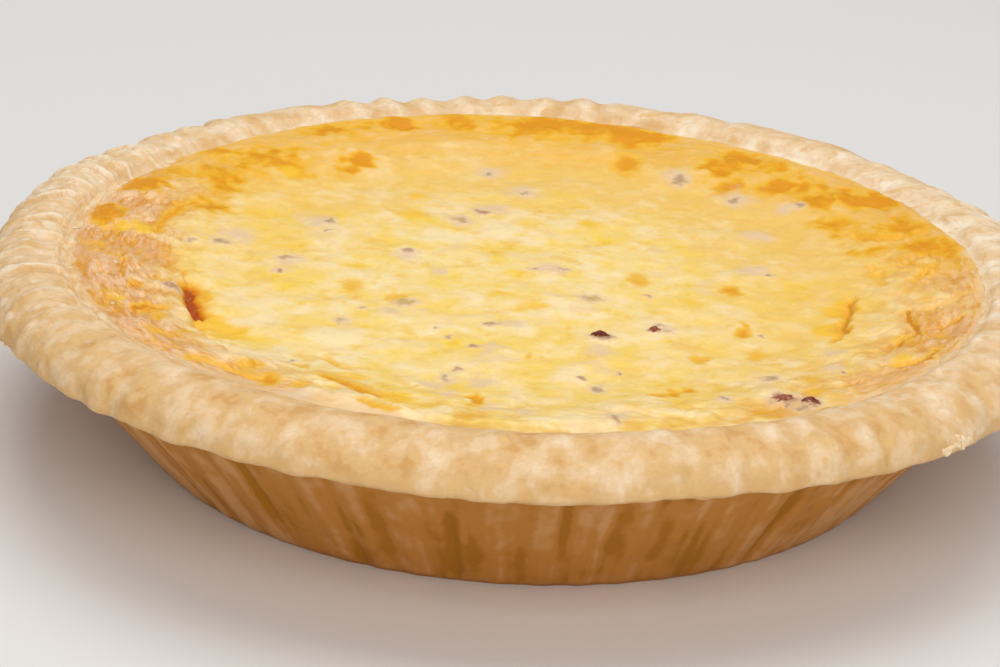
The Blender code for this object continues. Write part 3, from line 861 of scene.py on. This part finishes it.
def makeCustard(material):
    edgeRadius, blend = brim["radius"] + brim["overlap"], custard["blendWidth"]
    shape = bmesh.new()
    bmesh.ops.create_circle(shape, cap_ends=True, cap_tris=True, segments=6, radius=1)
    bmesh.ops.subdivide_edges(
        shape, edges=shape.edges[:], cuts=custard["rings"] - 1, use_grid_fill=True
    )
    for vert in shape.verts:
        ring, turn = discPlace(vert.co)
        radius = ring * edgeRadius
        radius += brimWander(turn)[0] * smoothStep((radius - edgeRadius + blend) / blend)
        vert.co = polar(radius, turn)
    rim = [edge for edge in shape.edges if edge.is_boundary]
    gap = custard["seatGap"]
    sides = [(brim["radius"] - gap, brim["height"] - crust["thickness"]), *crust["seat"]]
    topCount = len(shape.verts)
    for radius, height in sides:  # the hidden side goes down inside the crust to its floor
        made = bmesh.ops.extrude_edge_only(shape, edges=rim)["geom"]
        rim = [item for item in made if isinstance(item, bmesh.types.BMEdge)]
        lift = gap if height <= crust["thickness"] else 0
        for vert in (item for item in made if isinstance(item, bmesh.types.BMVert)):
            vert.co = polar(radius - gap, bearing(vert.co), height + lift)
    bmesh.ops.contextual_create(shape, geom=rim)
    shape.verts.index_update()
    places = 1e3 * np.array([vert.co[:2] for vert in shape.verts])
    heights, painted = custardSurface(places[:, 0], places[:, 1])
    shape.verts.ensure_lookup_table()
    for vert, height in zip(shape.verts[:topCount], heights):
        vert.co.z = height
    turnOutwards(shape)
    piece = finishPiece("quiche_custard", shape, material, painted)
    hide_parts("filling")


def custardMaterial():
    look = {
        "cream": (0.95, 0.735, 0.39),
        "light": (0.94, 0.69, 0.265),
        "yellow": (0.93, 0.645, 0.165),
        "bright": (0.95, 0.65, 0.080),
        "haze": (0.86, 0.62, 0.31),
        "gilt": (0.88, 0.56, 0.125),
        "gold": (0.85, 0.47, 0.070),
        "tan": (0.84, 0.52, 0.20),
        "hollowPeach": (0.66, 0.275, 0.030),
        "peach": (0.765, 0.375, 0.120),
        "ridgePeach": (0.88, 0.565, 0.315),
        "pink": (0.75, 0.415, 0.215),
        "skin": (0.85, 0.565, 0.295),
        "amber": (0.865, 0.455, 0.008),
        "orange": (0.75, 0.295, 0.001),
        "baked": (0.87, 0.525, 0.120),
        "yolk": (0.925, 0.535, 0.030),
        "pool": (0.865, 0.475, 0.045),
        "deep": (0.79, 0.335, 0.006),
        "slitShade": (0.61, 0.25, 0.008),
        "scorched": (0.72, 0.24, 0.004),
        "burnt": (0.40, 0.07, 0.002),
        "veil": (0.79, 0.565, 0.355),
        "olive": (0.54, 0.36, 0.115),
        "brown": (0.42, 0.27, 0.135),
        "rosy": (0.45, 0.19, 0.105),
        "red": (0.16, 0.03, 0.010),
    }
    uniform = {"Specular IOR Level": 0.13, "Subsurface Weight": 0.12, "Subsurface Scale": 0.0014}
    uniform["Subsurface Radius"] = (1.0, 0.4, 0.08)
    material, shader, place = startMaterial("baked_custard", uniform)
    # wherever hollow is added below, it paints shade in the skin's hollows and highlight on its
    # ridges
    hollow, wrinkle = place.painted("hollow"), place.painted("wrinkle")
    gold, peach, warm = place.painted("gold"), place.painted("peach"), place.painted("warm")
    bent = place.shifted(7 * mm, 5 * mm)
    pool, cloud = bent.noise(11 * mm, 1.5, 0.45), bent.noise(4.5 * mm, 2)
    lace = 1 - abs(2 * bent.noise(3 * mm, 3, 0.6) - 1)
    fine, grit = bent.noise(1.3 * mm, 2), place.noise(0.6 * mm, 2)
    streak = place.shifted(3 * mm, 2 * mm).ringed(6 * mm, 1.2 * mm).noise(1, 3, 0.6)
    crepe = 1 - abs(2 * place.shifted(2 * mm, 1.2 * mm).ringed(3.2 * mm, 0.8 * mm).noise(1, 2) - 1)

    # the middle, then the golden and the pinkish brown margin
    # yellower in the skin's hollows and paler along its wrinkles: painted shade and highlight
    tone = pool + 0.75 * cloud + 0.25 * hollow - 0.25 * lace + 0.15 * (fine - 0.5)
    colour = (tone + 0.08 * warm + 0.02).ramp(look["cream"], [
        (0.48, 0.64, look["light"]),
        (0.66, 0.82, look["yellow"]),
        (0.86, 1.00, look["bright"]),
    ])
    haze = bent.noise(8 * mm) - 0.1 * hollow
    gilded = place.shifted(5 * mm, 4 * mm).noise(6 * mm, 2) + 0.2 * hollow + 0.20 * (warm - 0.2)
    golden = gold + 0.9 * (cloud - 0.5) + 0.35 * hollow + 0.4 * (pool - 0.5)
    colour = coated(colour, look, [
        ("haze", haze.band(0.56, 0.70) * 0.7),
        ("gilt", gilded.band(0.54, 0.70) * 0.7),
        ("baked", warm * (0.35 + 0.7 * cloud)),
        ("gold", golden.band(0.12, 0.80) * 0.9),
        ("tan", gold * (streak + 0.5 * (cloud - 0.5)).band(0.48, 0.64) * 0.7),
    ])
    # paler on the wrinkles' ridges and deeper in their folds: partly painted highlight and shade,
    # partly the skin's own streaks
    folded = 0.42 - 0.38 * hollow + 3.3 * (streak - 0.5) + 1.4 * (crepe - 0.8) - 0.4 * (cloud - 0.5)
    margin = folded.ramp(look["hollowPeach"], [
        (0.05, 0.58, look["peach"]),
        (0.52, 1.05, look["ridgePeach"]),
    ])
    pinkish = pool + 0.6 * (streak - 0.5) + 0.3 * wrinkle
    margin = (pinkish.band(0.50, 0.75) * 0.6).mix(margin, look["pink"])
    edging = peach + 0.7 * (cloud - 0.5) + 0.2 * hollow
    colour = (edging.band(0.25, 0.85) * 0.92).mix(colour, margin)

    # browned patches, pale skin, yolk, cracks and bacon
    browned = place.painted("patch") + 1.3 * (cloud - 0.5) + 0.2 * (fine - 0.5) + 0.30 * hollow
    film = place.painted("skin") + 0.9 * (streak - 0.5) + 0.7 * (cloud - 0.5)
    grey = place.painted("veil") + 0.7 * (fine - 0.5) + 0.9 * (cloud - 0.5)
    yolk = place.painted("yolk") + 0.5 * (cloud - 0.5) + 0.2 * (fine - 0.5)
    stain = place.painted("orange") + 0.25 * (fine - 0.5) + 0.3 * (cloud - 0.5)
    # a dark line down narrow cracks: painted shade over the custard's amber
    slitShade = place.painted("slitShade") + 0.2 * (fine - 0.5)
    scorch = place.painted("burnt") + 0.12 * (fine - 0.5)
    bit = place.painted("bit") + 0.7 * (fine - 0.5) + 0.4 * (grit - 0.5)
    colour = coated(colour, look, [
        ("amber", browned.band(0.12, 0.72) * 0.94),
        ("orange", browned.band(0.42, 1.05)),
        ("skin", film.band(0.40, 1.0) * 0.7),
        ("veil", grey.band(0.20, 1.0) * 0.8),
        ("yolk", yolk.band(0.10, 0.75) * 0.92),
        ("pool", stain.band(0.08, 0.55) * 0.95),
        ("deep", stain.band(0.52, 1.0)),
        ("slitShade", slitShade.band(0.25, 0.75)),
        ("scorched", scorch.band(0.12, 0.60)),
        ("burnt", scorch.band(0.50, 0.95)),
        ("veil", bit.band(0.05, 0.55) * 0.7),
    ])
    meat = place.painted("meat") + 0.2 * (grit - 0.5)
    flesh = meat.ramp(look["olive"], [
        (0.15, 0.40, look["brown"]),
        (0.50, 0.72, look["rosy"]),
        (0.80, 0.95, look["red"]),
    ])
    height = 0.22 * fine + 0.18 * lace + 0.25 * cloud + peach * streak + 0.8 * peach * crepe
    feed(shader, {
        "Base Color": (bit.band(0.34, 1.05) * 0.85).mix(colour, flesh),
        "Roughness": 0.38 + 0.25 * fine,
        "Coat Weight": 0.3 * peach * streak,
        "Normal": place.bump(height, 0.32),
    })
    return material


# bacon

bacon = {
    # place in mm, length, width and height in mm, turn in degrees, tone from olive 0 to red 1
    "pieces": [
        ((-76.4, -27.4), 4.6, 2.4, 1.2, 118, 0.66), ((53.2, -76.4), 6.2, 3.4, 2, 10, 0.86),
        ((58.2, -78), 3.6, 3, 1.7, -25, 0.90), ((56.6, -81.5), 3, 2.6, 1, 0, 0.55),
        ((16.9, -39), 4.2, 2.2, 2.2, 5, 1), ((28.2, -34.4), 2.6, 2, 1.7, 20, 0.84),
        ((29.4, -31.2), 1.8, 1.4, 0.8, 0, 0.20), ((31.6, -33.2), 2, 1.6, 0.8, 20, 0.20),
        ((51.2, -62.1), 3.6, 2.6, 1.2, 30, 0.35), ((14.6, -16.4), 4.6, 3, 1.4, 15, 0.15),
        ((-25.5, -24.2), 4.8, 2.6, 1.2, 10, 0.10), ((-34.6, -28.6), 1.6, 1.2, 0.9, 0, 0.70),
        ((27.5, -12.6), 1.8, 1.4, 1, 0, 0.75), ((-15.4, -42.9), 2.4, 1.6, 1, 20, 0.60),
        ((-9.8, -47.8), 2.2, 1.6, 1, 0, 0.65), ((-6.6, -34.7), 2.8, 1.8, 0.9, 10, 0.35),
        ((-18.4, -39), 1.6, 1.4, 0.9, 0, 0.20), ((-12.8, -61.3), 2, 1.6, 0.9, 0, 0.65),
        ((-15.2, -65.9), 1.8, 3.2, 1.1, 0, 0.45), ((16.3, -68.2), 2, 3.4, 1.1, 0, 0.50),
        ((20.8, -58.6), 1.4, 1.8, 0.9, 0, 0.60), ((13.1, -62.4), 1.6, 1.2, 0.7, 0, 0.35),
        ((19, -92.4), 2.2, 2.6, 1.2, 0, 0.55), ((66.1, -59.8), 1.6, 1.2, 0.9, 0, 0.80),
        ((-38.8, -36.7), 2.6, 1.8, 0.9, 20, 0.20), ((-47, -63.6), 1.6, 1.4, 0.8, 0, 0.60),
        ((-27, 8.2), 2.2, 1.6, 0.9, 0, 0.60), ((1.6, 1), 2.6, 1.2, 0.8, 0, 0.55),
        ((8.2, 1.6), 2.4, 1.2, 0.8, 0, 0.55), ((-53.8, -0.6), 2.6, 2, 1.2, 20, 0.70),
        ((-55, -8.4), 1.6, 1.6, 0.8, 0, 0.65), ((-69.4, 6.4), 4, 1.8, 1, 5, 0.50),
        ((-76.2, 4), 2, 1.6, 0.9, 0, 0.50), ((-46.2, 26), 2.6, 2.6, 1.1, 0, 0.55),
        ((-45.9, 18.4), 1.8, 1.4, 0.8, 0, 0.55), ((-10.9, 37.6), 3.4, 2.2, 1.2, 0, 0.65),
        ((-16, 31.1), 3.2, 2.8, 1.2, 0, 0.25), ((36.9, 65), 3.2, 4.6, 1.4, 0, 0.48),
        ((49.4, 53.6), 3, 2.2, 1, 10, 0.55), ((-1.6, 52.6), 3, 2.2, 1, 0, 0.50),
        ((-10.2, 66), 2.4, 2, 1, 0, 0.50), ((41.2, -76.8), 1.8, 1.6, 0.8, 0, 0.50),
        ((65, 49), 2.6, 1.8, 1, 0, 0.45), ((51.4, -33.8), 1.4, 1.2, 0.7, 0, 0.40),
        ((55, 5), 1.8, 1.2, 0.7, 0, 0.50),
    ],
    "proud": 1.5,  # pieces at least this tall, in mm, stand out of the custard
    "fineness": 4,
    "lumps": 0.40,
    "taper": 0.38,  # narrower at the top, wider at the foot
    "sunk": 0.16,  # of a piece's height, below its middle
}


def addLump(shape, fineness, seed, lumps, taper, place):  # a small uneven lump, set by a matrix
    lump = bmesh.new()
    bmesh.ops.create_icosphere(lump, subdivisions=fineness, radius=1)
    for vert in lump.verts:
        facet = ripple(vert.co, 1.2, 10 * seed) + 0.8 * ripple(vert.co, 0.5, 10 * seed + 5)
        vert.co *= 1 + lumps * facet
        vert.co.xy *= 1 - taper * vert.co.z
    heights = [vert.co.z for vert in lump.verts]
    lump.transform(place)
    mesh = meshFrom("lump", lump)
    shape.from_mesh(mesh)
    bpy.data.meshes.remove(mesh)
    return heights


def makeBacon(material):
    pieces = [piece for piece in bacon["pieces"] if piece[3] >= bacon["proud"]]
    places = np.array([piece[0] for piece in pieces], dtype=float)
    heights = custardSurface(places[:, 0], places[:, 1])[0]
    shape = bmesh.new()
    tones, tops = [], []
    for number, (place, length, width, tall, turn, tone) in enumerate(pieces):
        size = Matrix.Diagonal((length / 2 * mm, width / 2 * mm, tall / 2 * mm, 1))
        lift = heights[number] - bacon["sunk"] * tall * mm
        spot = Matrix.Translation((place[0] * mm, place[1] * mm, lift))
        spot = spot @ Matrix.Rotation(math.radians(turn), 4, "Z") @ size
        top = addLump(shape, bacon["fineness"], number, bacon["lumps"], bacon["taper"], spot)
        tones += [tone] * len(top)
        tops += top
    piece = finishPiece("bacon_pieces", shape, material, {"tone": tones, "top": tops})


def baconMaterial():
    look = {
        "brown": (0.40, 0.24, 0.12),
        "rosy": (0.38, 0.12, 0.055),
        "red": (0.15, 0.022, 0.008),
        "film": (0.76, 0.50, 0.28),
    }
    uniform = {"Specular IOR Level": 0.3, "Subsurface Weight": 0.1, "Subsurface Scale": 0.001}
    material, shader, place = startMaterial("cooked_bacon", uniform)
    mottle = place.noise(1.1 * mm, 3, 0.6)
    tone = place.painted("tone") + 0.25 * (mottle - 0.5)
    colour = tone.ramp(look["brown"], [(0.45, 0.68, look["rosy"]), (0.78, 0.95, look["red"])])
    bare = place.painted("top") + 1.6 * (mottle - 0.5) + 0.3 * place.painted("tone")
    feed(shader, {
        "Base Color": bare.band(0.20, 0.85).mix(look["film"], colour),
        "Roughness": 0.35 + 0.3 * mottle,
        "Normal": place.bump(mottle, 0.4),
    })
    return material


# crumbs and flakes of pastry

crumbs = {
    # thin flakes along the inner edge of the rim: angles in degrees, radii and sizes in mm
    "flakes": 9,
    "flakeAngles": (160, 196),
    "flakeRadii": (99.5, 102.5),
    "flakeSizes": (0.8, 2.0),
    "flakeThickness": 0.09,  # as a share of the size
    "curl": 0.12,
    # angle in degrees, height and size in mm: crumbs that hang at the rim's outer edge
    "hanging": [
        (-45.4, 34.5, 1.6), (-44.8, 34.5, 2.6), (-44.2, 34.8, 2.2), (-43.5, 35, 2.6),
        (-42.8, 35.2, 3.1), (-42.2, 35.2, 2.3), (-41.6, 35.2, 1.6), (-43.3, 36, 2.2),
        (-42.4, 36.2, 1.8), (206, 33.8, 1.2), (207.4, 33.6, 1.4), (209, 34, 1),
    ],
    "hangingThickness": 0.7,
    "specks": [(-89.7, -19.1, 1.3), (-86.5, -44.0, 0.9), (-92.0, -30.0, 0.8)],  # place, size in mm
    "speckThickness": 0.6,
    "lumps": 0.28,
}


def addFlake(shape, draw, seed, spot, normal, size, thickness):
    stretch = draw.uniform(0.45, 0.9)
    place = normal.to_track_quat("Z", "Y").to_matrix().to_4x4()
    place = Matrix.Translation(spot) @ place @ Matrix.Rotation(draw.uniform(0, fullTurn), 4, "Z")
    half = size / 2 * mm
    place = place @ Matrix.Diagonal((half, half * stretch, half * thickness, 1))
    addLump(shape, 3, seed, crumbs["lumps"], 0, place)


def makeFlakes(material, surface):
    draw = random.Random(5)
    shape = bmesh.new()
    seed = 100
    down, up = Vector((0, 0, -1)), Vector((0, 0, 1))
    for seed in range(seed, seed + crumbs["flakes"]):
        angle = math.radians(draw.uniform(*crumbs["flakeAngles"]))
        above = polar(draw.uniform(*crumbs["flakeRadii"]) * mm, angle, 0.06)
        spot, normal, _, _ = surface.ray_cast(above, down)
        tilt = Vector([draw.uniform(-1, 1) for _ in range(3)]) * crumbs["curl"]
        size = draw.uniform(*crumbs["flakeSizes"])
        if spot and normal.z > 0.75:
            spot += 0.02 * size * mm * normal
            normal = (normal + tilt).normalized()
            addFlake(shape, draw, seed, spot, normal, size, crumbs["flakeThickness"])
    for seed, (degrees, height, size) in enumerate(crumbs["hanging"], seed + 1):
        turn = polar(1, math.radians(degrees))
        spot, normal, _, _ = surface.ray_cast(turn * 0.14 + up * height * mm, -turn)
        if spot:
            spot -= 0.04 * size * mm * normal
            addFlake(shape, draw, seed, spot, normal, size, crumbs["hangingThickness"])
    for seed, (x, y, size) in enumerate(crumbs["specks"], seed + 1):
        height = custardSurface(np.array([x]), np.array([y]))[0][0]
        spot = Vector((x * mm, y * mm, height))
        addFlake(shape, draw, seed, spot, up, size, crumbs["speckThickness"])
    piece = finishPiece("pastry_flakes", shape, material)


def flakeMaterial():
    look = {"pale": (0.87, 0.67, 0.43), "tan": (0.82, 0.58, 0.33)}
    uniform = {"Specular IOR Level": 0.2, "Subsurface Weight": 0.15, "Subsurface Scale": 0.001}
    material, shader, place = startMaterial("pastry_crumb", uniform)
    grain = place.noise(1.4 * mm, 3, 0.6)
    feed(shader, {
        "Base Color": grain.band(0.40, 0.65).mix(look["pale"], look["tan"]),
        "Roughness": 0.65 + 0.2 * grain,
        "Normal": place.bump(grain, 0.4),
    })
    return material


# floor, lights and camera

studio = {
    "floorSize": 4.0,
    "floorColour": (0.78, 0.76, 0.73),
    "world": (0.55, 0.57, 0.60),
    "worldStrength": 0.45,
    # name: place, size and power
    "lights": {
        "overhead": ((0.0, 0.32, 1.15), 1.1, 9.3),
        "front": ((0.12, -1.16, 0.80), 1.1, 11.6),
    },
    "cameraPlace": (0.0, -0.6096, 0.2619),
    "lens": 103.9,
    "yaw": 0.47,
    "pitch": -21.56,
    "roll": 2.80,
}


def makeStudio():
    shape = bmesh.new()
    bmesh.ops.create_grid(shape, x_segments=1, y_segments=1, size=studio["floorSize"] / 2)
    floor = addObject("floor", meshFrom("floor", shape))
    uniform = {"Base Color": (*studio["floorColour"], 1), "Roughness": 0.7}
    floor.data.materials.append(startMaterial("pale_floor", uniform)[0])

    world = bpy.data.worlds.new("soft_room")
    world.use_nodes = True
    sky = world.node_tree.nodes["Background"]
    sky.inputs["Color"].default_value = (*studio["world"], 1)
    sky.inputs["Strength"].default_value = studio["worldStrength"]
    bpy.context.scene.world = world
    for name, (place, size, power) in studio["lights"].items():
        lamp = bpy.data.lights.new(name, "AREA")
        lamp.size = size
        lamp.energy = power
        light = addObject(name, lamp)
        light.location = place
        light.rotation_euler = (-Vector(place)).to_track_quat("-Z", "Y").to_euler()

    lens = bpy.data.cameras.new("camera")
    lens.lens = studio["lens"]
    lens.sensor_width = 36
    lens.clip_start = 0.01
    camera = addObject("camera", lens)
    turn = Euler((math.radians(90 + studio["pitch"]), 0, math.radians(studio["yaw"]))).to_matrix()
    roll = Matrix.Rotation(math.radians(studio["roll"]), 3, "Z")
    camera.matrix_world = Matrix.Translation(studio["cameraPlace"]) @ (turn @ roll).to_4x4()
    bpy.context.scene.camera = camera
    bpy.context.scene.view_settings.view_transform = "Standard"
    print("studio ready")


makeStudio()
crustSurface = makeCrust(pastryMaterial())
makeCustard(custardMaterial())
makeBacon(baconMaterial())
makeFlakes(flakeMaterial(), crustSurface)
